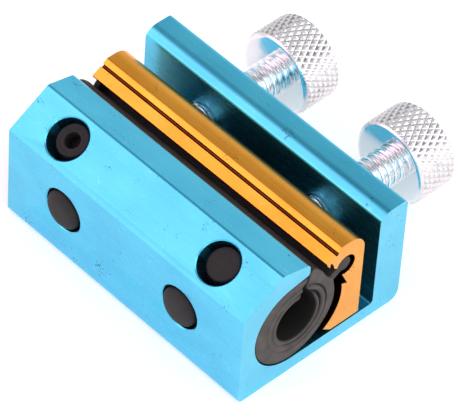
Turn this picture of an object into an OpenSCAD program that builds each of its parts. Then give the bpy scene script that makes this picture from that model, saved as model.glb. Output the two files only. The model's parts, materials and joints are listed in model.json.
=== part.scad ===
// Control-cable luber: a blue extruded body and a gold clamp plate squeeze a split rubber seal
// round a cable, and two knurled thumbscrews push the plate. Lubricant goes in through the
// hollow boss at the top left. X runs along the cable, the drilled faces look towards -Y, the
// thumbscrews stand out towards +Y, and Z is up from the flat underside.

/* [Body] */
// Length of the extrusion along the cable
body_len = 52; // [50:1:80]
// Depth from the drilled front face to the back of the rear wall
body_depth = 33.4; // [33:0.1:36]
// Height of the vertical front face
front_h = 17.7; // [17:0.1:19]
// Height of the ridge between the sloping face and the top strip
ridge_h = 22.4; // [21.5:0.1:23]
// Height of the rear wall
wall_h = 21.4; // [20.5:0.1:23]
// Thickness of the rear wall
wall_t = 5.6; // [4:0.1:6]
// Thickness of the floor
floor_t = 2.5; // [2:0.1:3]

/* [Jaws] */
// Radius of the round groove that holds the seal
jaw_r = 8.0; // [7.8:0.1:8.2]
// Depth of the groove's axis behind the front face
jaw_y = 10.75; // [10.5:0.05:11]
// How far the clamp plate stands back from a full circle
jaw_gap = 1.8; // [1.6:0.1:2]

/* [Drilled holes] */
// Distance between the two holes in the sloping face
slope_hole_pitch = 33.4; // [30:0.2:36]
// Radius of the holes in the sloping face
slope_hole_r = 3.55; // [3:0.05:3.8]
// Distance between the two holes in the front face
front_hole_pitch = 26.0; // [24:0.2:30]
// Radius of the holes in the front face
front_hole_r = 3.8; // [3:0.05:4]
// Height of the holes in the front face
front_hole_z = 9.9; // [9:0.1:11]
// How far the four holes sit towards the inlet end
hole_shift = 0.5; // [0:0.1:1]

/* [Seal] */
// Radius of the bore that grips the cable housing
cable_r = 4.0; // [3:0.1:4.4]
// Radius of the small bore that grips the inner wire
wire_r = 1.3; // [1:0.1:2]
// Radius of the hole that takes the lubricant straw
straw_r = 1.45; // [1:0.05:1.8]
// Gap between the two lips of the slit
slit = 0.8; // [0.7:0.1:1]
// How far the upper bosses sit below the sloping face
boss_recess = 0.9; // [0.4:0.1:1.5]
// How far the lower bosses stand out of the front face
boss_proud = 0.8; // [0.2:0.1:1]

/* [Thumbscrews] */
// Distance between the two thumbscrews
screw_pitch = 25.5; // [24:0.5:30]
// Height of the thumbscrews above the underside
screw_z = 11.7; // [11:0.1:13]
// Outside radius of the stud's thread
stud_r = 3.175; // [2.9:0.005:3.3]
// Radial play of the stud in the rear wall
stud_play = 0.05; // [0.02:0.01:0.1]
// Radius of the knurled head
knob_r = 7.35; // [6:0.05:8]
// Thickness of the knurled head
knob_t = 7.3; // [6:0.1:9]
// Depth of the head's inner face behind the body's front face
knob_y = 43.4; // [42:0.1:46]

/* [Hidden] */
$fn = 96;

// profiles are drawn as [depth behind the front face, height]
jaw = [jaw_y, floor_t + jaw_r];
plate_jaw = jaw + [jaw_gap, 0];
bore = jaw + [0.5, 0.25];
seal_r = jaw_r - 0.15;

// the cone that breaks the sharp rim of each drilled hole
edge_break = 0.2;

// the sloping face, from its lower edge to the ridge
slope_a = [0, front_h];
slope_b = [7.8, ridge_h];
slope_run = slope_b - slope_a;
slope_mid = (slope_a + slope_b) / 2;
slope_tilt = atan2(slope_run[1], slope_run[0]);

// the top strip ends in a rounded nose, whose underside runs down to touch the groove
nose_y = 13.3;
nose_top = 21.1;
nose_low = 19.0;
nose_touch = jaw + jaw_r * [cos(100), sin(100)];

// the clamp plate
plate_low = floor_t + 0.4;
plate_top = 20.35;
plate_back = 24.7;
plate_round = 3.2;
keyhole = plate_jaw + [8.4, 5.3];
keyhole_r = 1.85;
lip_groove = [18.85, 19.45];
lip_groove_r = 0.32;

// the seal splits behind the groove's axis, and the lips part by the slit
lip_y = jaw_y + 1.55;
bead = keyhole - [0.15, 0.1];
bead_r = 1.35;
swell = jaw + [1.2, 0.4];
swell_r = 7.3;
wire_len = 5.5;
boss_gap = 0.3;
boss_round = 1.0;

stud_tip = plate_back + 0.05;
stud_seat = 5.0;
head_chamfer = 0.5;

// the origin is the middle of the whole luber's footprint
origin_y = (knob_y + knob_t - boss_proud) / 2;

// ---- helpers -------------------------------------------------------------------------------

function unit(v) = v / norm(v);
function cross2(a, b) = a[0] * b[1] - a[1] * b[0];

// centre of the arc that rounds corner p between its neighbours a and b
function round_centre(a, p, b, r) =
    let (u = unit(a - p), v = unit(b - p), half = acos(u * v) / 2)
    p + unit(u + v) * r / sin(half);

// distance from corner p to the arc's ends
function round_setback(a, p, b, r) =
    let (u = unit(a - p), v = unit(b - p)) r / tan(acos(u * v) / 2);

// the way the outline turns at corner p: 1 on an outer corner, -1 on an inner one
function turn(a, p, b) = -sign(cross2(p - a, b - p));

// An outline through corners [depth, height, radius], listed clockwise. A true arc rounds each
// corner that has a radius: the corner's tip is shaved off outside it, or filled inside it.
module rounded_outline(corners) {
    n = len(corners);
    pts = [for (c = corners) [c[0], c[1]]];
    filled = [for (i = [0 : n - 1])
        let (a = pts[(i + n - 1) % n], p = pts[i], b = pts[(i + 1) % n], r = corners[i][2],
             s = r > 0 ? round_setback(a, p, b, r) : 0)
        each (r > 0 && turn(a, p, b) < 0 ? [p + unit(a - p) * s, p + unit(b - p) * s] : [p])];
    difference() {
        polygon(filled);
        for (i = [0 : n - 1])
            if (corners[i][2] > 0)
                corner_cut(pts[(i + n - 1) % n], pts[i], pts[(i + 1) % n], corners[i][2]);
    }
}

// what a rounded corner takes away: all but a disc on an outer corner, a disc on an inner one
module corner_cut(a, p, b, r) {
    centre = round_centre(a, p, b, r);
    s = round_setback(a, p, b, r);
    from = p + unit(a - p) * s;
    to = p + unit(b - p) * s;
    tip = p + unit(p - centre) * r;
    if (turn(a, p, b) > 0)
        difference() {
            polygon([from, from + (from - centre) / 2, tip, to + (to - centre) / 2, to]);
            translate(centre) circle(r = r);
        }
    else
        translate(centre) circle(r = r);
}

// carries a [depth, height] profile along the cable from x0 to x1
module along_cable(x0, x1) {
    translate([x0, -origin_y, 0]) rotate([90, 0, 90]) linear_extrude(height = x1 - x0) children();
}

// puts a child's +Z on the inward normal of the sloping face at station x
module on_slope(x) {
    translate([x, slope_mid[0] - origin_y, slope_mid[1]])
        rotate([180 + slope_tilt, 0, 0]) children();
}

// puts a child's +Z on the inward normal of the front face at station x
module on_front(x) {
    translate([x, -origin_y, front_hole_z]) rotate([-90, 0, 0]) children();
}

// a thumbscrew's axis, with a child's +Z running back from the body's front face
module on_screw(side) {
    translate([side * screw_pitch / 2, -origin_y, screw_z]) rotate([-90, 0, 0]) children();
}

// ---- the extruded body ---------------------------------------------------------------------

module body_profile() {
    inner = body_depth - wall_t;
    difference() {
        rounded_outline([
            [0, 0, 1.0], [slope_a[0], slope_a[1], 0], [slope_b[0], slope_b[1], 0],
            [nose_y, nose_top, 1.0], [nose_y, nose_low, 0.6], [nose_touch[0], nose_touch[1], 0],
            [jaw[0], jaw[1], 0], [jaw[0], floor_t, 0], [inner, floor_t, 0.7],
            [inner, wall_h - 1.0, 0], [inner + 1.6, wall_h, 0], [body_depth, wall_h, 0.9],
            [body_depth, 0, 1.9]]);
        translate(jaw) circle(r = jaw_r);
    }
}

// a hole drilled from the face at z = 0 through into the groove
module drill(r) {
    translate([0, 0, -1]) cylinder(r = r, h = 8);
    translate([0, 0, -edge_break]) cylinder(r1 = r + 2 * edge_break, r2 = r, h = 2 * edge_break);
}

module body() {
    color("DeepSkyBlue") difference() {
        along_cable(-body_len / 2, body_len / 2) body_profile();
        for (side = [-1, 1]) {
            on_slope(side * slope_hole_pitch / 2 - hole_shift) drill(slope_hole_r);
            on_front(side * front_hole_pitch / 2 - hole_shift) drill(front_hole_r);
            on_screw(side) translate([0, 0, body_depth - wall_t - 1])
                cylinder(r = stud_r + stud_play, h = wall_t + 2);
        }
    }
}

// ---- the clamp plate -----------------------------------------------------------------------

// The toe under the seal and the hook over it are drawn from the plate's jaw centre. Between them
// the outline passes through that centre, and the jaw's circle cuts the corner away. A dovetailed
// pocket and the mouth of the keyhole part the jaw from the hook.
module plate_profile() {
    toe = [[3.65, -6.0, 0], [4.75, -5.8, 0], [0, 0, 0]];
    pocket = [[7.95, 1.4, 0], [9.05, 0.9, 0], [7.75, 3.6, 0]];
    hook = [[6.65, 5.6, 0], [5.95, 6.1, 0], [5.65, 7.1, 0], [5.15, 7.8, 0], [4.95, 6.9, 0],
            [4.25, 7.9, 0.2], [6.35, 9.15, 0]];
    heel = [[18.9, plate_low, 0], [17.3, 4.0, 0]];
    difference() {
        rounded_outline(concat(
            [for (c = concat(toe, pocket, hook)) c + [plate_jaw[0], plate_jaw[1], 0]],
            [[19.8, plate_top, 0.6], [plate_back, plate_top, plate_round],
             [plate_back, plate_low, 0.3]],
            heel));
        translate(plate_jaw) circle(r = jaw_r);
        translate(keyhole) circle(r = keyhole_r);
        translate(lip_groove) circle(r = lip_groove_r);
    }
}

module clamp_plate() {
    color("Goldenrod") along_cable(-body_len / 2, body_len / 2) plate_profile();
}

// ---- the split rubber seal -----------------------------------------------------------------

// the round section that both halves share
module seal_section() {
    translate(jaw) circle(r = seal_r);
}

// carries a profile over the seal's whole length
module seal_length() {
    along_cable(-body_len / 2, body_len / 2) children();
}

// the big bore for the cable housing runs from the right end to the wire seal at the left end
module cable_bores() {
    along_cable(-body_len / 2 + wire_len, body_len / 2 + 1) translate(bore) circle(r = cable_r);
    along_cable(-body_len / 2 - 1, body_len / 2) translate(bore) circle(r = wire_r);
}

module seal_front() {
    color("DimGray") difference() {
        union() {
            seal_length() intersection() {
                seal_section();
                square([lip_y, ridge_h]);
            }
            for (side = [-1, 1]) {
                on_slope(side * slope_hole_pitch / 2 - hole_shift) translate([0, 0, boss_recess])
                    cylinder(r = slope_hole_r - boss_gap, h = 6);
                on_front(side * front_hole_pitch / 2 - hole_shift) domed_boss();
            }
        }
        cable_bores();
        on_slope(-slope_hole_pitch / 2 - hole_shift) cylinder(r = straw_r, h = 10);
    }
}

// a lower boss: a round-edged stub that stands proud of the front face
module domed_boss() {
    r = front_hole_r - boss_gap;
    rotate_extrude() intersection() {
        union() {
            translate([0, boss_round - boss_proud]) square([r, 6 - boss_round]);
            translate([0, -boss_proud]) square([r - boss_round, 2 * boss_round]);
            translate([r - boss_round, boss_round - boss_proud]) circle(r = boss_round);
        }
        translate([0, -boss_proud]) square([r, 8]);
    }
}

module seal_back() {
    lip = lip_y + slit;
    color("DimGray") difference() {
        union() {
            seal_length() behind(lip) seal_section();
            seal_length() behind(lip) translate(swell) circle(r = swell_r);
            seal_length() upper_lip(lip - jaw[0]);
            seal_length() bead_neck();
            seal_length() translate(bead) circle(r = bead_r);
        }
        cable_bores();
    }
}

// what lies behind a depth
module behind(depth) {
    intersection() {
        children();
        translate([depth, 0]) square([2 * jaw_r, ridge_h]);
    }
}

// the thick lip that stands up between the nose and the hook, drawn from the groove's axis
module upper_lip(edge) {
    translate(jaw) polygon([[edge, 3.5], [edge, 7.4], [3.35, 8.1], [3.45, 8.75], [3.8, 8.85],
        [5.5, 7.5], [6.1, 6.4], [6.65, 5.2], [7.15, 3.5], [6.65, 1.5]]);
}

// the web that joins the bead in the keyhole to the seal
module bead_neck() {
    root = jaw + [6.45, 2.9];
    side = unit([root[1] - bead[1], bead[0] - root[0]]) * 0.75;
    polygon([root + side, bead + side, bead - side, root - side]);
}

// ---- the thumbscrews -----------------------------------------------------------------------

module stud(side) {
    length = knob_y + stud_seat - stud_tip;
    color("Silver") on_screw(side) translate([0, 0, stud_tip]) rotate_extrude()
        polygon([[0, 0], [stud_r - 0.6, 0], [stud_r, 0.6], [stud_r, length], [0, length]]);
}

module knob(side) {
    color("Gainsboro") on_screw(side) translate([0, 0, knob_y]) rotate_extrude()
        polygon([[stud_r, 0], [knob_r - head_chamfer, 0], [knob_r, head_chamfer],
                 [knob_r, knob_t - head_chamfer], [knob_r - head_chamfer, knob_t], [0, knob_t],
                 [0, stud_seat], [stud_r, stud_seat]]);
}

module stud_left() { stud(-1); }
module stud_right() { stud(1); }
module knob_left() { knob(-1); }
module knob_right() { knob(1); }

body();
clamp_plate();
seal_front();
seal_back();
stud_left();
stud_right();
knob_left();
knob_right();
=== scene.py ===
"""Looks of the control-cable luber: a blue anodised body and a gold anodised clamp plate squeeze a
split rubber seal round a cable, and two knurled thumbscrews push the plate.

Everything is in metres in the part's own frame: X along the cable, the thumbscrews towards +Y and
Z up from the flat underside. Sizes inside the functions are in millimetres and MM turns them to
metres, because the part was drawn in millimetres.
"""

import json
import math

import bmesh
import bpy
import numpy as np
from mathutils import Matrix, Vector


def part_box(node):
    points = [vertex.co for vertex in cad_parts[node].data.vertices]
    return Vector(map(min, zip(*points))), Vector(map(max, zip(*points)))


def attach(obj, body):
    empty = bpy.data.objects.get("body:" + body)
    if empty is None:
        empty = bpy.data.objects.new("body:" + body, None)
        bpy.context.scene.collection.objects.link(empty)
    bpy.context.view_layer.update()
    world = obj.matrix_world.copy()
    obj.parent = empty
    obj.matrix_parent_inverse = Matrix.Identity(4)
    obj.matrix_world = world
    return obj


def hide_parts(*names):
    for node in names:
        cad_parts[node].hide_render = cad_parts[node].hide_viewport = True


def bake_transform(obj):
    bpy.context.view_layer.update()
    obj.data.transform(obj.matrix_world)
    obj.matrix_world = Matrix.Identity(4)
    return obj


MM = 0.001
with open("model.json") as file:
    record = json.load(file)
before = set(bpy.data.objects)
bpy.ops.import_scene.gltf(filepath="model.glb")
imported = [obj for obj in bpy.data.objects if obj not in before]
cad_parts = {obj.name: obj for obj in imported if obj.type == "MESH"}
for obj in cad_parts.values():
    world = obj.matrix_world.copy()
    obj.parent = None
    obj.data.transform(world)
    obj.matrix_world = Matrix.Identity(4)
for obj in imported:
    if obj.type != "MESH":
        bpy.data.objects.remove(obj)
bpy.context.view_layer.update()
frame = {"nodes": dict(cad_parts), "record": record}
scene = bpy.context.scene


# ---- places taken from the part ------------------------------------------------------------


def box_mm(node):
    """Lowest and highest corner of a CAD node, in millimetres."""
    low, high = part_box(node)
    return np.array(low) / MM, np.array(high) / MM


MOUNTS = {m["name"]: m for m in frame["record"]["mounts"]}
BODY_LOW, BODY_HIGH = box_mm("body")
FRONT_Y = BODY_LOW[1]
HALF_LENGTH = BODY_HIGH[0]
BORE = np.array(MOUNTS["cable_bore"]["pos_m"])[1:] / MM - [FRONT_Y, 0]
CABLE_R = MOUNTS["cable_bore"]["dims"]["r_mm"]
WIRE_R = MOUNTS["wire_bore"]["dims"]["r_mm"]
WIRE_END = -HALF_LENGTH + MOUNTS["wire_bore"]["dims"]["length_mm"]
INLET_X = MOUNTS["straw_inlet"]["pos_m"][0] / MM
SLOPE_OUT = np.array(MOUNTS["straw_inlet"]["axis"])

# Places across the extrusions are [depth behind the body's front face, height], as they are drawn.
# First the axis of the body's round groove, then the four drilled holes.
JAW = np.array([10.75, 10.5])
SEAL_R = 7.85
SLOPE_MID = np.array([3.9, 20.05])
SLOPE_HOLE_R, FRONT_HOLE_R = 3.55, 3.8
SLOPE_HOLE_X = [INLET_X, -INLET_X - 1.0]
FRONT_HOLE_X = [-13.5, 12.5]
FRONT_HOLE_Z = 9.9
# The plate's keyhole and the groove along its lip, each with the radius its painted shade covers,
# and the height of the lip's foot.
KEYHOLE, KEYHOLE_REACH = np.array([20.95, 15.8]), 2.0
LIP_GROOVE, LIP_GROOVE_REACH = np.array([18.85, 19.45]), 0.42
LIP_FOOT = 19.0
# Every sharp edge is broken a little. Three long edges of the body are eased more: the place of
# each corner, and the width of its bevel.
BROKEN_EDGE = 0.1
SOFT_CORNERS = [((29.4, 21.4), 0.65), ((27.8, 20.4), 0.4), ((7.8, 22.4), 0.3)]
X_OUT = np.array([1.0, 0.0, 0.0])
Y_OUT = np.array([0.0, 1.0, 0.0])


# ---- mesh helpers --------------------------------------------------------------------------


def grid_quads(rows, cols):
    """Quads of a rows by cols grid of points stored row after row."""
    i, j = np.meshgrid(np.arange(rows - 1), np.arange(cols - 1), indexing="ij")
    a = (i * cols + j).ravel()
    return np.stack([a, a + 1, a + cols + 1, a + cols], 1)


def make_piece(name, shells, sharp_degrees=35.0):
    """One mesh from closed shells, each (points in mm, quads, extra polygons). Seams and poles are
    merged, and each shell's faces are turned outwards."""
    points, faces, base = [], [], 0
    for shell_points, quads, polygons in shells:
        points.append(shell_points)
        faces += (quads + base).tolist()
        faces += [[int(v) + base for v in polygon] for polygon in polygons]
        base += len(shell_points)
    mesh = bpy.data.meshes.new(name)
    mesh.from_pydata((np.concatenate(points) * MM).tolist(), [], faces)
    work = bmesh.new()
    work.from_mesh(mesh)
    bmesh.ops.remove_doubles(work, verts=work.verts, dist=2e-6)
    bmesh.ops.dissolve_degenerate(work, edges=work.edges, dist=1e-6)
    bmesh.ops.recalc_face_normals(work, faces=work.faces)
    work.to_mesh(mesh)
    work.free()
    finish_shading(mesh, sharp_degrees)
    piece = bpy.data.objects.new(name, mesh)
    scene.collection.objects.link(piece)
    return piece


def finish_shading(mesh, sharp_degrees):
    """Smooth shading that breaks at every edge sharper than the angle."""
    mesh.shade_smooth()
    mesh.set_sharp_from_angle(angle=math.radians(sharp_degrees))


def cad_copy(node, name):
    """A copy of a CAD node's mesh, with its loose triangles merged, its flat faces joined up and
    its sharp edges broken by a narrow bevel."""
    work = bmesh.new()
    work.from_mesh(frame["nodes"][node].data)
    bmesh.ops.remove_doubles(work, verts=work.verts, dist=1e-6)
    bmesh.ops.dissolve_limit(
        work, angle_limit=math.radians(0.2), verts=work.verts, edges=work.edges)
    mesh = bpy.data.meshes.new(name)
    work.to_mesh(mesh)
    work.free()
    finish_shading(mesh, 28.0)
    piece = bpy.data.objects.new(name, mesh)
    scene.collection.objects.link(piece)
    bevel = piece.modifiers.new("broken edges", "BEVEL")
    bevel.width = BROKEN_EDGE * MM
    bevel.segments = 2
    bevel.limit_method = "ANGLE"
    bevel.angle_limit = math.radians(30)
    bevel.harden_normals = True
    return piece


def ease_edges(piece, corners):
    """A round bevel on the long edges at some of the extrusion's corners, each as wide as it says:
    an edge's weight is its width over the widest. It is put before the narrow bevel."""
    mesh = piece.data
    co = np.zeros(len(mesh.vertices) * 3, np.float32)
    mesh.vertices.foreach_get("co", co)
    ends = np.zeros(len(mesh.edges) * 2, np.int32)
    mesh.edges.foreach_get("vertices", ends)
    widest = max(width for _, width in corners)
    weight = np.zeros(len(mesh.edges), np.float32)
    for (depth, height), width in corners:
        corner = np.array([depth + FRONT_Y, height]) * MM
        close = np.linalg.norm(co.reshape(-1, 3)[:, 1:] - corner, axis=1) < 0.05 * MM
        weight[close[ends.reshape(-1, 2)].all(axis=1)] = width / widest
    layer = mesh.attributes.new("bevel_weight_edge", "FLOAT", "EDGE")
    layer.data.foreach_set("value", weight)
    ease = piece.modifiers.new("eased edge", "BEVEL")
    ease.width = widest * MM
    ease.segments = 8
    ease.limit_method = "WEIGHT"
    ease.harden_normals = True
    piece.modifiers.move(len(piece.modifiers) - 1, 0)


def face_across(mesh, axis, slot_index):
    """Gives the faces that look along one axis a material slot of their own."""
    normals = np.zeros(len(mesh.polygons) * 3, np.float32)
    mesh.polygons.foreach_get("normal", normals)
    across = np.abs(normals.reshape(-1, 3)[:, axis]) > 0.98
    mesh.polygons.foreach_set("material_index", np.where(across, slot_index, 0).astype(np.int32))


def plate_painted_shade(mesh, painted_shade, back_shade):
    """Gives slots of their own to the plate's long faces that differ from the rest: painted shade
    in the groove along the lip, in the keyhole and in the jaw under the lip, and a greyer, darker
    painted shade on the flat back, which faces the body's wall."""
    values = np.zeros((2, len(mesh.polygons) * 3), np.float32)
    mesh.polygons.foreach_get("normal", values[0])
    mesh.polygons.foreach_get("center", values[1])
    normal, centre = values.reshape(2, -1, 3)
    kept = np.zeros(len(mesh.polygons), np.int32)
    mesh.polygons.foreach_get("material_index", kept)
    place = centre[:, 1:] / MM - [FRONT_Y, 0]
    groove = np.linalg.norm(place - LIP_GROOVE, axis=1) < LIP_GROOVE_REACH
    keyhole = np.linalg.norm(place - KEYHOLE, axis=1) < KEYHOLE_REACH
    lip_front = normal @ SLOPE_OUT >= 0.93
    in_jaw = ((place[:, 1] < LIP_FOOT) & ~lip_front) | (place[:, 1] < KEYHOLE[1])
    jaw = in_jaw & (place[:, 0] < KEYHOLE[0] + 0.4)
    # Painted shade: the groove, the keyhole and the jaw get the dark slot.
    slots = np.where((kept == 0) & (groove | keyhole | jaw), painted_shade, kept)
    # Painted shade: the flat back, which faces the body's wall, gets a greyer, darker slot.
    slots = np.where((kept == 0) & (normal[:, 1] > 0.9), back_shade, slots)
    mesh.polygons.foreach_set("material_index", slots.astype(np.int32))


def along_cable(x, profile):
    """Points of a [depth, height] profile at station x, in the part's frame."""
    x = np.broadcast_to(x, profile.shape[:-1])
    return np.stack([x, profile[..., 0] + FRONT_Y, profile[..., 1]], -1)


def spun(profile, turns, centre, out, side):
    """Surface of revolution: each (radius, height) of the profile is carried round the axis that
    leaves the centre along out, and side is where the angle starts."""
    angle = np.linspace(0, 2 * math.pi, turns + 1)
    third = np.cross(out, side)
    ring = np.cos(angle)[None, :, None] * side + np.sin(angle)[None, :, None] * third
    points = centre + profile[:, 0][:, None, None] * ring + profile[:, 1][:, None, None] * out
    return points.reshape(-1, 3), grid_quads(len(profile), turns + 1), []


def smooth(t):
    """Eases from 0 to 1 with no corner at either end."""
    t = np.clip(t, 0, 1)
    return t * t * (3 - 2 * t)


# ---- thumbscrews ---------------------------------------------------------------------------

# The knurl has 40 grooves each way, 30 degrees from the axis: a groove climbs root 3 of its spacing
# while it goes one spacing round.
KNURLS = 40
KNURL_DEPTH = 0.34
KNURL_LEAN = math.sqrt(3)
# How deep the head's two bevels cut into the rim at its ends. The inner one rises 0.95 in 1.
INNER_BEVEL, INNER_RISE = 0.62, 0.95
OUTER_BEVEL = 0.5
# The head's flat faces as rings: radii of the inner face, which also reaches a little under the
# thread's crests, and (radius, depth) of the outer face with its dimpled centre.
UNDER_CREST = 0.5
INNER_FACE = [4.2, 5.4, 6.3]
OUTER_FACE = [(6.3, 0.0), (4.5, 0.0), (2.5, 0.0), (1.0, 0.0), (0.45, 0.12), (0.0, 0.3)]
THREAD_PITCH = 1.27
THREAD_DEPTH = 0.66
# Where a flank's middle lies between the crest's centre at 0 and the root's at 1, and how fast the
# ramp falls there: the crest takes 3 tenths of the pitch and the flanks 6 tenths.
FLANK_MIDDLE, FLANK_FALL = 0.6, 1.7
TIP_BEVEL = 0.7


def knurled_head(node, stud, name):
    """Thumbscrew head. Two families of V grooves wind round the rim in opposite ways, and the
    deeper one at each point is cut into it, which leaves pointed diamonds. The rim's radius is
    that of this knurl or, where it is less, of the turned bevel at each end. The faces are rings
    inside the rim, and the stud's hole is capped."""
    low, high = box_mm(node)
    centre = np.array([(low[0] + high[0]) / 2, 0, (low[2] + high[2]) / 2])
    radius = (high[2] - low[2]) / 2
    depth = high[1] - low[1]
    stud_low, stud_high = box_mm(stud)
    hole = (stud_high[2] - stud_low[2]) / 2 - UNDER_CREST
    pitch = 2 * math.pi * radius / KNURLS * KNURL_LEAN
    steps, rows = 10, int(depth / pitch * 16)
    angle = np.linspace(0, 2 * math.pi, KNURLS * steps + 1)[None, :]
    y = np.linspace(0, depth, rows + 1)[:, None]
    turn = KNURLS * angle / (2 * math.pi)
    grooves = [np.abs(2 * ((turn + way * y / pitch) % 1) - 1) for way in (-1, 1)]
    knurl = radius - KNURL_DEPTH * np.maximum(*grooves)
    inner_bevel = radius - INNER_BEVEL + y * INNER_RISE
    outer_bevel = radius - OUTER_BEVEL + (depth - y)
    rim = np.minimum(np.minimum(knurl, inner_bevel), outer_bevel)
    inner_r = np.array([hole] + INNER_FACE)[:, None] + 0 * angle
    outer_r, dimple = np.array(OUTER_FACE).T[:, :, None] + 0 * angle
    r = np.concatenate([inner_r, rim, outer_r])
    y = np.concatenate([0 * inner_r, np.broadcast_to(y, rim.shape), depth - dimple])
    points = np.stack([r * np.cos(angle), y + low[1], r * np.sin(angle)], -1) + centre
    cap = np.arange(len(angle[0]) - 1)
    return make_piece(name, [(points.reshape(-1, 3), grid_quads(*r.shape), [cap])], 50.0)


def threaded_stud(node, name):
    """Stud of a thumbscrew. The grid's rows follow the thread's helix, so a row is one line along
    the crest, the flank or the root: height = row + pitch x angle / one turn. The radius falls from
    crest to root on an eased ramp, and is no more than the bevelled tip allows."""
    low, high = box_mm(node)
    centre = np.array([(low[0] + high[0]) / 2, 0, (low[2] + high[2]) / 2])
    radius = (high[2] - low[2]) / 2
    per_pitch, around = 14, 72
    angle = np.linspace(0, 2 * math.pi, around + 1)[None, :]
    turns = (high[1] - low[1]) / THREAD_PITCH
    row = np.arange(-per_pitch, int(turns * per_pitch) + 2)[:, None] / per_pitch * THREAD_PITCH
    y = np.clip(row + THREAD_PITCH * angle / (2 * math.pi), 0, high[1] - low[1])
    phase = (y / THREAD_PITCH - angle / (2 * math.pi)) % 1
    ridge = np.clip((FLANK_MIDDLE - np.abs(2 * phase - 1)) * FLANK_FALL + 0.5, 0, 1)
    thread = radius - THREAD_DEPTH * (1 - smooth(ridge))
    r = np.minimum(thread, radius - TIP_BEVEL + y)
    points = np.stack([r * np.cos(angle), y + low[1], r * np.sin(angle)], -1)
    tip = np.zeros((1,) + points.shape[1:]) + [0, low[1], 0]
    end = np.zeros((1,) + points.shape[1:]) + [0, high[1], 0]
    points = np.concatenate([tip, points, end]) + centre
    quads = grid_quads(len(row) + 2, around + 1)
    return make_piece(name, [(points.reshape(-1, 3), quads, [])], 60)


# ---- the rubber seal -----------------------------------------------------------------------

# The sleeve's outer radius towards the clamp plate.
CLAMP_SIDE_R = 8.0
# The slit's fixed lip and the raised lip on the clamp side, as (inner, outer) pairs of [depth,
# height]. The first list starts at the slit and meets the bore; the second leaves the bore.
SLIT_LIP = [
    ([13.02, 18.25], [13.1, 18.34]),
    ([12.72, 17.3], [12.75, 18.28]),
    ([12.1, 16.9], [12.3, 18.24]),
    ([12.0, 15.7], [11.7, 18.3]),
    ([11.5, 14.78], [11.1, 18.34]),
]
RAISED_LIP = [
    ([14.85, 12.9], [18.75, 14.1]),
    ([14.2, 14.6], [17.75, 15.2]),
    ([13.3, 15.6], [17.0, 16.1]),
    ([12.95, 16.4], [16.45, 17.2]),
    ([13.2, 17.2], [15.9, 17.95]),
    ([13.45, 18.2], [15.3, 18.55]),
    ([13.65, 18.9], [14.75, 19.05]),
    ([13.8, 19.22], [14.25, 19.3]),
]


def seal_stations():
    """Inner and outer points of the seal's section, from the slit round the front, the bottom and
    the back to the slit again. Round the bore the inner point is on its circle, and the outer one
    is on the groove's circle in front and swells towards the clamp plate behind."""
    angle = np.radians(np.arange(96, 374, 4.0))
    ray = np.stack([np.cos(angle), np.sin(angle)], 1)
    inner = BORE + CABLE_R * ray
    reach = BORE - JAW
    along = ray @ reach
    groove = -along + np.sqrt(along**2 - reach @ reach + SEAL_R**2)
    swell = smooth((angle - math.radians(290)) / math.radians(70))
    outer = BORE + (groove + swell * (CLAMP_SIDE_R - groove))[:, None] * ray
    lip, raised = np.array(SLIT_LIP), np.array(RAISED_LIP)
    inner = np.concatenate([lip[:, 0], inner, raised[:, 0]])
    outer = np.concatenate([lip[:, 1], outer, raised[:, 1]])
    fine = np.linspace(0, len(inner) - 1, 3 * len(inner) - 2)
    return spline(inner, fine), spline(outer, fine)


def spline(points, at):
    """A Catmull-Rom curve through the points, read at fractional indices."""
    ends = np.concatenate([[2 * points[0] - points[1]], points, [2 * points[-1] - points[-2]]])
    i = np.clip(at.astype(int), 0, len(points) - 2)
    t = (at - i)[:, None]
    a, b, c, d = ends[i], ends[i + 1], ends[i + 2], ends[i + 3]
    return 0.5 * (2 * b + (c - a) * t + (2 * a - 5 * b + 4 * c - d) * t**2
                  + (3 * b - a - 3 * c + d) * t**3)


# Moulded grooves in the sleeve's open end, as (radius, half width, depth), the step outside them,
# and the radius of the end's two edges.
END_GROOVES = [(4.95, 0.22, 0.75), (6.15, 0.16, 0.5)]
END_STEP_R, END_STEP_RAMP, END_STEP = 6.2, 0.4, 0.12
END_EDGE = 0.3


def moulded_rings(point, edge):
    """How far the seal's open end lies below its highest plane. Each groove is a bell curve of
    the distance from the bore's axis, deepest towards the clamp, and the edges are quarter
    rounds."""
    away = point - BORE
    distance = np.linalg.norm(away, axis=-1)
    angle = np.degrees(np.arctan2(away[..., 1], away[..., 0]))
    open_side = 0.25 + 0.75 * smooth(1.6 - np.abs(angle + 15) / 75)
    drop = 0 * distance
    for radius, width, depth in END_GROOVES:
        drop = drop + depth * open_side * np.exp(-(((distance - radius) / width) ** 2))
    drop = drop + END_STEP * open_side * smooth((distance - END_STEP_R) / END_STEP_RAMP)
    near = np.clip(1 - edge / END_EDGE, 0, 1)
    return drop + END_EDGE * (1 - np.sqrt(1 - near**2))


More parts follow.
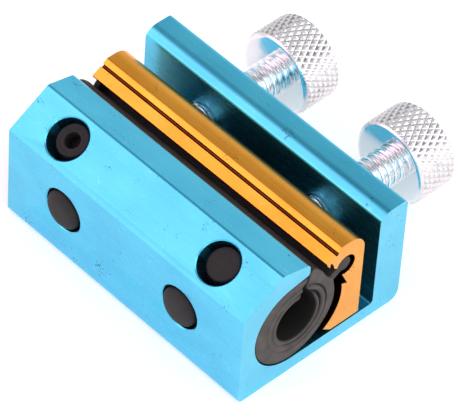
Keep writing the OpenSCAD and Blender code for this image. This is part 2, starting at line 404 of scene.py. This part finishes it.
def sleeve():
    """The split sleeve. At every station round the bore its section is one closed loop: along the
    bore, out over the ringed open end, back along the outside, in over the plain end, along the
    small bore for the wire and out over the step between the two bores. The open end's points
    crowd a little towards its two edges."""
    inner, outer = seal_stations()
    span = np.linalg.norm(outer - inner, axis=1)
    bore_ray = inner - BORE
    bore_r = np.linalg.norm(bore_ray, axis=1)
    on_bore = np.abs(bore_r - CABLE_R) < 0.06
    wire = np.where(on_bore[:, None], BORE + bore_ray * (WIRE_R / bore_r)[:, None], inner)
    across = np.linspace(0, 1, 44)
    crowding = 0.12
    across = across - crowding * np.sin(2 * math.pi * across) / (2 * math.pi)
    face = inner[:, None] + across[None, :, None] * (outer - inner)[:, None]
    edge = np.minimum(across, 1 - across)[None, :] * span[:, None]
    face_x = HALF_LENGTH - moulded_rings(face, edge)
    outside_x = np.linspace(face_x[:, -1], -HALF_LENGTH + 0 * span, 6, axis=1)
    back = np.linspace(0, 1, 6)[1:]
    plain_end = outer[:, None] + back[None, :, None] * (wire - outer)[:, None]
    rows = [(inner[:, None], np.linspace(WIRE_END, face_x[:, 0], 6, axis=1)[:, :-1]),
            (face, face_x),
            (outer[:, None], outside_x[:, 1:]),
            (plain_end, np.full(plain_end.shape[:2], -HALF_LENGTH)),
            (wire[:, None], np.full((len(span), 1), WIRE_END))]
    loop = np.concatenate(
        [along_cable(x, np.broadcast_to(p, x.shape + (2,))) for p, x in rows], axis=1)
    loop = np.concatenate([loop, loop[:, :1]], axis=1)
    stations, sides = loop.shape[:2]
    ends = [np.arange(sides - 1), (stations - 1) * sides + np.arange(sides - 1)]
    return loop.reshape(-1, 3), grid_quads(stations, sides), ends


# The bead's axis, the foot of its web inside the sleeve, its radius and half the web's thickness.
BEAD, WEB_FOOT = np.array([20.9, 15.75]), np.array([16.6, 13.3])
BEAD_R, WEB_HALF = 1.35, 0.8


def bead():
    """The cord along the seal's back that slides into the plate's keyhole, with the web that
    carries it: an arc closed by the web's straight sides, carried along X and a little smaller at
    both ends."""
    way = (BEAD - WEB_FOOT) / np.linalg.norm(BEAD - WEB_FOOT)
    side = np.array([-way[1], way[0]])
    swing = np.radians(np.linspace(-147, 147, 28))[:, None]
    arc = BEAD + BEAD_R * (np.cos(swing) * way + np.sin(swing) * side)
    profile = np.concatenate([[WEB_FOOT - WEB_HALF * side], arc, [WEB_FOOT + WEB_HALF * side]])
    shrink = BEAD + (profile - BEAD) * 0.9
    x = [-HALF_LENGTH + 0.2, -HALF_LENGTH + 0.35, HALF_LENGTH - 0.5, HALF_LENGTH - 0.3]
    rings = [along_cable(x[0], shrink), along_cable(x[1], profile),
             along_cable(x[2], profile), along_cable(x[3], shrink)]
    points = np.stack([np.concatenate([ring, ring[:1]]) for ring in rings])
    count = points.shape[1]
    ends = [np.arange(count - 1), 3 * count + np.arange(count - 1)]
    return points.reshape(-1, 3), grid_quads(4, count), ends


# Outline of the wall under the plate's hook, closed, and how far it lies from the closed end.
END_WALL = np.array([(17.2, 15.3), (18.9, 15.3), (19.0, 15.95), (18.35, 16.5), (18.0, 17.2),
                     (17.45, 17.2), (16.9, 16.5), (17.2, 15.3)])
END_WALL_X = np.array([0.25, 1.2])


def end_wall():
    """The thin wall at the seal's closed end that fills the pocket under the plate's hook: a
    seven-sided outline carried a millimetre along X. It keeps clear of the hook."""
    x = END_WALL_X - HALF_LENGTH
    points = along_cable(x[:, None], np.stack([END_WALL, END_WALL]))
    count = len(END_WALL)
    ends = [np.arange(count - 1), count + np.arange(count - 1)]
    return points.reshape(-1, 3), grid_quads(2, count), ends


# The bosses' roots inside the sleeve. In the sloping face: the gap round a boss, its face, its
# rounded rim, and its offset up the slope and along X. In the front face: the gap, the height
# where the nose starts and ends, the nose's power, and its offset along X and Z.
BOSS_ROOT = -5.5
SLOPE_GAP, SLOPE_FACE, SLOPE_RIM, SLOPE_OFFSET = 0.75, -1.2, 0.35, (0.4, 0.1)
FRONT_GAP, NOSE_FOOT, NOSE_TIP, NOSE_POWER, FRONT_OFFSET = 0.4, -0.9, 0.8, 3.2, (-0.2, -0.1)


def slope_boss(x, hollow):
    """A rubber stub in the sloping face, below the surface and a little up the slope from the
    hole's centre, with a rounded rim. The hollow one has a flared mouth that leads the straw into
    the seal. A profile turned about an axis along the hole."""
    r, face, edge = SLOPE_HOLE_R - SLOPE_GAP, SLOPE_FACE, SLOPE_RIM
    rim = np.radians(np.linspace(0, 90, 6))
    profile = [(0, BOSS_ROOT), (r, BOSS_ROOT)]
    profile += [(r - edge + edge * math.cos(a), face - edge + edge * math.sin(a)) for a in rim]
    if hollow:
        profile = profile[1:] + [(2.15, face), (2.05, face - 0.07), (1.8, face - 0.07),
                                 (1.7, face - 0.02), (1.5, face - 0.03), (1.36, face - 0.12),
                                 (1.3, face - 0.3), (1.3, BOSS_ROOT), (r, BOSS_ROOT)]
    else:
        profile += [(2.1, face + 0.03), (1.1, face + 0.07), (0, face + 0.08)]
    up_slope = np.array([0, SLOPE_OUT[2], -SLOPE_OUT[1]])
    hole = np.array([x, SLOPE_MID[0] + FRONT_Y, SLOPE_MID[1]])
    centre = hole + SLOPE_OFFSET[0] * up_slope + SLOPE_OFFSET[1] * X_OUT
    return spun(np.array(profile), 72, centre, SLOPE_OUT, X_OUT)


def front_boss(x):
    """A rubber stub that stands out of the front face, a little to one side of its hole. Its nose
    is a superellipse turned about an axis along the hole."""
    r, bend = FRONT_HOLE_R - FRONT_GAP, 2 / NOSE_POWER
    dome = np.radians(np.linspace(0, 90, 24))
    profile = [(0, BOSS_ROOT), (r, BOSS_ROOT)]
    profile += [(r * math.cos(a) ** bend, NOSE_FOOT + (NOSE_TIP - NOSE_FOOT) * math.sin(a) ** bend)
                for a in dome[:-1]]
    profile += [(0, NOSE_TIP)]
    centre = np.array([x + FRONT_OFFSET[0], FRONT_Y, FRONT_HOLE_Z + FRONT_OFFSET[1]])
    return spun(np.array(profile), 72, centre, -Y_OUT, X_OUT)


# ---- materials -----------------------------------------------------------------------------


def linear(hex_colour):
    """sRGB hex to linear RGBA."""
    srgb = [int(hex_colour[i : i + 2], 16) / 255 for i in (0, 2, 4)]
    return [c / 12.92 if c <= 0.04045 else ((c + 0.055) / 1.055) ** 2.4 for c in srgb] + [1.0]


def add(tree, kind, inputs, output=0, **settings):
    """Adds a node and returns one of its outputs. Inputs are values or links for its sockets, in
    order or by name, and settings are its properties."""
    made = tree.nodes.new("ShaderNode" + kind)
    for name, value in settings.items():
        setattr(made, name, value)
    for socket, value in inputs.items() if isinstance(inputs, dict) else enumerate(inputs):
        if isinstance(value, bpy.types.NodeSocket):
            tree.links.new(value, made.inputs[socket])
        else:
            made.inputs[socket].default_value = value
    return made.outputs[output] if len(made.outputs) else None


def material(name):
    """An empty node material, its tree and its Object coordinates in millimetres."""
    made = bpy.data.materials.new(name)
    made.use_nodes = True
    tree = made.node_tree
    tree.nodes.clear()
    place = add(tree, "TexCoord", [], "Object")
    return made, tree, add(tree, "VectorMath", [place, [1 / MM] * 3], operation="MULTIPLY")


def grains(tree, place, size_mm, detail=3.0, rough=0.5):
    """A random pattern whose grains have a real size along each axis: noise at place / size."""
    where = add(tree, "VectorMath", [place, [1 / s for s in size_mm]], operation="MULTIPLY")
    return add(tree, "TexNoise",
               {"Vector": where, "Scale": 1.0, "Detail": detail, "Roughness": rough})


def shaded(tree, value, low, high, first, second, most=1.0):
    """Goes from the first colour to the second while a value goes from low to high. A colour is
    sRGB hex or a link, and most is the second one's share at the end."""
    share = add(tree, "MapRange", [value, low, high, 0.0, most])
    ends = [linear(c) if isinstance(c, str) else c for c in (first, second)]
    return add(tree, "Mix", {0: share, 6: ends[0], 7: ends[1]}, 2, data_type="RGBA")


def surface(tree, colour, roughness, height=None, depth_mm=0.0, **fixed):
    """The Principled shader with its fixed values on its own sockets, and a bump of a real
    depth."""
    inputs = {"Base Color": colour, "Roughness": roughness, **fixed}
    if height is not None:
        inputs["Normal"] = add(tree, "Bump", {"Height": height, "Distance": depth_mm * MM})
    add(tree, "OutputMaterial", {"Surface": add(tree, "BsdfPrincipled", inputs)})


def anodised_aluminium(name, colour, deep, pale, dirt, skin, sawn):
    """Dyed anodised aluminium: a metal whose dye tints every reflection, under a clear hard skin.
    Extruded faces carry faint die lines along X, and sawn ends a tooth pattern across them. The
    die lines are 0.2 mm apart, coarser than real ones so that they show. Dark pits and pale rubs
    a few tenths of a millimetre wide are scattered over it. The colours are the dye's, the dye's
    where it took deeper, the rubs' and the pits', and skin is the weight of the clear layer."""
    made, tree, place = material(name)
    clouds = grains(tree, place, (9, 5, 5), 4)
    tint = shaded(tree, clouds, 0.35, 0.65, deep, colour)
    if sawn:
        mark_mm, depth_mm, low_rough, high_rough = (0.5, 0.3, 3.0), 0.01, 0.36, 0.48
    else:
        mark_mm, depth_mm, low_rough, high_rough = (40, 0.22, 0.22), 0.003, 0.24, 0.34
    lines = grains(tree, place, mark_mm, 3, 0.6)
    rubs = grains(tree, place, (1.3, 0.7, 0.7), 2, 0.7)
    tint = shaded(tree, rubs, 0.66, 0.74, tint, pale, 0.25)
    pits = grains(tree, place, (0.36, 0.36, 0.36), 1, 0.4)
    patches = grains(tree, place, (3, 3, 3), 1, 0.4)
    sparse = add(tree, "Math", [pits, patches], operation="MULTIPLY")
    tint = shaded(tree, sparse, 0.44, 0.5, tint, dirt, 0.6)
    roughness = add(tree, "MapRange", [lines, 0.3, 0.7, low_rough, high_rough])
    surface(tree, tint, roughness, lines, depth_mm, Metallic=1.0,
            **{"Coat Weight": skin, "Coat IOR": 1.65, "Coat Roughness": 0.2})
    return made


def moulded_rubber():
    """Moulded nitrile rubber: black filled rubber, dull, with a fine mould texture, drawn coarse
    enough to show, and a greyish bloom in soft patches. The two ends are dustier and paler, with
    painted shade that darkens them again down into the moulded grooves and round edges, and
    painted shade makes the bore blacker."""
    made, tree, place = material("moulded_nitrile_rubber")
    bloom = grains(tree, place, (2.2, 2.2, 2.2), 5, 0.6)
    tint = shaded(tree, bloom, 0.35, 0.7, "1C1A1B", "2B2828")
    axis = [0, BORE[0] + FRONT_Y, BORE[1]]
    offset = add(tree, "VectorMath", [place, axis], operation="SUBTRACT")
    across = add(tree, "VectorMath", [offset, [0, 1, 1]], operation="MULTIPLY")
    from_axis = add(tree, "VectorMath", [across], "Value", operation="LENGTH")
    along = add(tree, "SeparateXYZ", [place], "X")
    from_middle = add(tree, "Math", [along], operation="ABSOLUTE")
    # Dust on the ends' outer plane, with painted shade: the colour darkens again from 0.12 to 0.5
    # mm down into the moulded grooves and round edges.
    dust_and_groove_shade = shaded(tree, bloom, 0.35, 0.65, "3D3836", "544D4A")
    tint = shaded(tree, from_middle, HALF_LENGTH - 0.5, HALF_LENGTH - 0.12, tint, dust_and_groove_shade)
    # Painted shade: the bore's wall is painted near black, fading to the rubber's colour within 0.3
    # mm of it.
    tint = shaded(tree, from_axis, CABLE_R + 0.02, CABLE_R + 0.3, "120F0E", tint)
    texture = grains(tree, place, (0.16, 0.16, 0.16), 3, 0.6)
    surface(tree, tint, add(tree, "MapRange", [bloom, 0.3, 0.7, 0.55, 0.7]), texture, 0.02,
            **{"Specular IOR Level": 0.28})
    return made


def turned_aluminium():
    """Turned and knurled aluminium, left bright: clean metal, a little dulled in patches, which
    the knurl's diamonds break into sparkle."""
    made, tree, place = material("turned_bright_aluminium")
    wear = grains(tree, place, (1.5, 1.5, 1.5))
    texture = grains(tree, place, (0.25, 0.25, 0.25), 2)
    surface(tree, shaded(tree, wear, 0.3, 0.7, "DCD7DA", "EEEAEC"),
            add(tree, "MapRange", [wear, 0.3, 0.7, 0.22, 0.32]), texture, 0.003, Metallic=1.0)
    return made


def faced_aluminium():
    """The heads' flat faces, cut with a fine feed: nearly a mirror, with a faint haze."""
    made, tree, place = material("faced_bright_aluminium")
    haze = grains(tree, place, (2.5, 2.5, 2.5))
    surface(tree, shaded(tree, haze, 0.0, 1.0, "EEEBEC", "FBFAFA"),
            add(tree, "MapRange", [haze, 0.3, 0.7, 0.06, 0.14]), Metallic=1.0)
    return made


def plated_steel():
    """Zinc-plated steel thread: bright, slightly cool metal with a soft plated skin."""
    made, tree, place = material("zinc_plated_steel")
    skin = grains(tree, place, (0.8, 0.8, 0.8))
    surface(tree, shaded(tree, skin, 0.3, 0.7, "E2E4E8", "F8F9FA"),
            add(tree, "MapRange", [skin, 0.3, 0.7, 0.14, 0.24]), skin, 0.003, Metallic=1.0)
    return made


def white_sweep():
    """Matt white card under the object. It glows a little, as a card lit from both sides does."""
    made, tree, place = material("white_card")
    fibre = grains(tree, place, (6, 6, 6))
    surface(tree, shaded(tree, fibre, 0.0, 1.0, "F4F4F4", "FFFFFF"), 0.9,
            **{"Emission Color": linear("FFFFFF"), "Emission Strength": 0.26,
               "Specular IOR Level": 0.1})
    return made


# Each extrusion's finishes in the order of its slots: name, four colours, skin's weight, sawn.
BLUE = [anodised_aluminium(*row) for row in (
    ("blue_anodised_aluminium", "50C6E7", "48BDE1", "9FE0FA", "0B3A52", 0.3, False),
    ("blue_anodised_aluminium_sawn", "5CCCEA", "52C4E5", "9FE2FB", "0B3A52", 0.6, True))]
GOLD = [anodised_aluminium(*row) for row in (
    ("gold_anodised_aluminium", "F2A636", "EA9A2A", "FFCB7A", "5A3408", 0.2, False),
    ("gold_anodised_aluminium_sawn", "F8AC50", "F2A245", "FFCD8A", "5A3408", 0.15, True),
    # Painted shade for the plate's groove, keyhole and jaw.
    ("gold_anodised_aluminium_painted_shade", "5C2E09", "4C2406", "7A4614", "2A1403", 0.1, False),
    # Painted shade, greyer and darker, for the plate's flat back that faces the body's wall.
    ("gold_anodised_aluminium_back_shade", "A99C86", "9C8C72", "C4BAA6", "2A1403", 0.3, False))]
SAWN, PAINTED_SHADE, BACK_SHADE = 1, 2, 3
RUBBER = moulded_rubber()
BRIGHT = [turned_aluminium(), faced_aluminium()]
FACED = 1
PLATED = plated_steel()


# ---- the pieces ----------------------------------------------------------------------------


def finished(piece, materials, body=None, stands_for=()):
    """Gives a piece its materials and its body, when it is given one, and hides the CAD nodes it
    stands for. The seal is given no body."""
    for each in materials:
        piece.data.materials.append(each)
    if body:
        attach(piece, body)
    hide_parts(*stands_for)
    return piece


for node, looks, slot_name, body in (("body", BLUE, "blue_anodised", "housing"),
                                     ("clamp_plate", GOLD, "gold_anodised", "clamp")):
    extrusion = cad_copy(node, node + "_extrusion")
    face_across(extrusion.data, 0, SAWN)
    if node == "clamp_plate":
        plate_painted_shade(extrusion.data, PAINTED_SHADE, BACK_SHADE)
    else:
        ease_edges(extrusion, SOFT_CORNERS)
    finished(extrusion, looks, body, [node])

seal = make_piece("split_seal", [
    sleeve(), bead(), end_wall(),
    slope_boss(SLOPE_HOLE_X[0], True), slope_boss(SLOPE_HOLE_X[1], False),
    front_boss(FRONT_HOLE_X[0]), front_boss(FRONT_HOLE_X[1])])
finished(seal, [RUBBER], None, ["seal_front", "seal_back"])
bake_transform(seal)

for side in ("left", "right"):
    head = knurled_head("knob_" + side, "stud_" + side, "thumbscrew_head_" + side)
    face_across(head.data, 1, FACED)
    finished(head, BRIGHT, "screw_" + side, ["knob_" + side])
    stud = threaded_stud("stud_" + side, "thumbscrew_thread_" + side)
    finished(stud, [PLATED], "screw_" + side, ["stud_" + side])


# ---- the floor, light and camera -----------------------------------------------------------


def white_floor():
    """A round card just under the object: rings about the origin out to a metre, all level."""
    r = np.array([0.0, 150, 400, 1000])[:, None]
    angle = np.linspace(0, 2 * math.pi, 49)[None, :]
    points = np.stack([r * np.cos(angle), r * np.sin(angle), 0 * r * angle - 0.02], -1)
    floor = make_piece("white_floor", [(points.reshape(-1, 3), grid_quads(4, 49), [])])
    floor.data.materials.append(white_sweep())
    if floor.data.polygons[0].normal.z < 0:
        floor.data.flip_normals()


def softbox(name, direction, distance, size, radiance, tint="FFFFFF"):
    """A rectangular area light of a given brightness, aimed at the origin from a direction."""
    lamp = bpy.data.lights.new(name, "AREA")
    lamp.shape = "RECTANGLE"
    lamp.size, lamp.size_y = size
    lamp.energy = radiance * math.pi * size[0] * size[1]
    lamp.color = linear(tint)[:3]
    holder = bpy.data.objects.new(name, lamp)
    scene.collection.objects.link(holder)
    way = Vector(direction).normalized()
    holder.location = way * distance
    holder.rotation_euler = way.to_track_quat("Z", "Y").to_euler()


def studio_world():
    """A white room with a dark ceiling: bright up to 33 degrees above the horizon, and dimmer
    from there to 67 degrees. The height is the angle's sine."""
    world = bpy.data.worlds.new("studio")
    world.use_nodes = True
    tree = world.node_tree
    way = add(tree, "TexCoord", [], "Generated")
    height = add(tree, "SeparateXYZ", [way], "Z")
    glow = add(tree, "MapRange", [height, 0.55, 0.92, 0.95, 0.28])
    background = tree.nodes["Background"]
    background.inputs["Color"].default_value = linear("F2F6F8")
    tree.links.new(glow, background.inputs["Strength"])
    scene.world = world


white_floor()
studio_world()
softbox("key_left", (-0.5, -0.6, 0.65), 0.6, (0.56, 0.56), 1.65, "FFCDDD")
softbox("overhead", (0.35, 0.0, 1.0), 0.7, (0.4, 0.4), 1.5)
softbox("front_right", (0.7, -0.6, 0.45), 0.8, (0.5, 0.4), 1.3)
softbox("back_right", (0.9, 0.75, 0.75), 0.8, (0.6, 0.6), 1.6)

# The camera looks down on the open end from the front right, rolled a little, through a long lens.
AZIMUTH, ELEVATION, ROLL = (math.radians(a) for a in (43.777, 46.369, 4.264))
CAMERA_PLACE = Vector((0.31778, -0.33228, 0.48767))
back = Vector((math.sin(AZIMUTH) * math.cos(ELEVATION), -math.cos(AZIMUTH) * math.cos(ELEVATION),
               math.sin(ELEVATION)))
level = Vector((math.cos(AZIMUTH), math.sin(AZIMUTH), 0))
right = level * math.cos(ROLL) + back.cross(level) * math.sin(ROLL)
lens = bpy.data.cameras.new("camera")
lens.sensor_width = 36
lens.lens = 336.19
lens.shift_x, lens.shift_y = -0.01486, -0.01156
lens.clip_start, lens.clip_end = 0.01, 10
camera = bpy.data.objects.new("camera", lens)
scene.collection.objects.link(camera)
turn = Matrix((right, back.cross(right), back)).transposed()
camera.matrix_world = Matrix.Translation(CAMERA_PLACE) @ turn.to_4x4()
scene.camera = camera
scene.view_settings.view_transform = "Standard"
